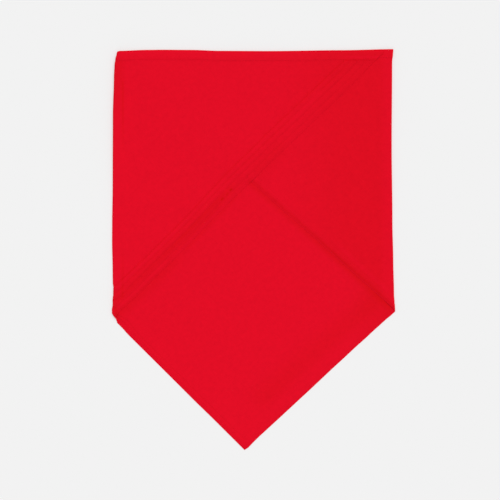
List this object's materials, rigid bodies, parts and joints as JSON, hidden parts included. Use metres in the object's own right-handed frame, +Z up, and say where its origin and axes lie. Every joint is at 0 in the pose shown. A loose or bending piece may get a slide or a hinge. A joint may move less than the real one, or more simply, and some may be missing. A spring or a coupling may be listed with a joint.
{
  "type": "neckerchief",
  "caption": "Red cotton neckerchief, a triangle with a hemmed long edge and a ribbed band on one short edge, folded in thirds and lying flat.",
  "frame": {"origin": "middle of the underside of the box, on the surface that the folded neckerchief lies on", "axes": "+Y towards the long edge, which is at the top in the picture; +X to the picture's right; +Z up, off the cloth"},
  "size_m": [0.3392, 0.4798, 0.0086],
  "materials": {
    "cloth": "matt plain-woven cotton",
    "hem": "matt plain-woven cotton, turned and stitched",
    "band": "matt cotton, stitched in ridges"
  },
  "bodies": {
    "root": {"folded_cloth": "cloth", "long_edge_hem": "hem", "left_edge_band": "band"}
  },
  "joints": []
}
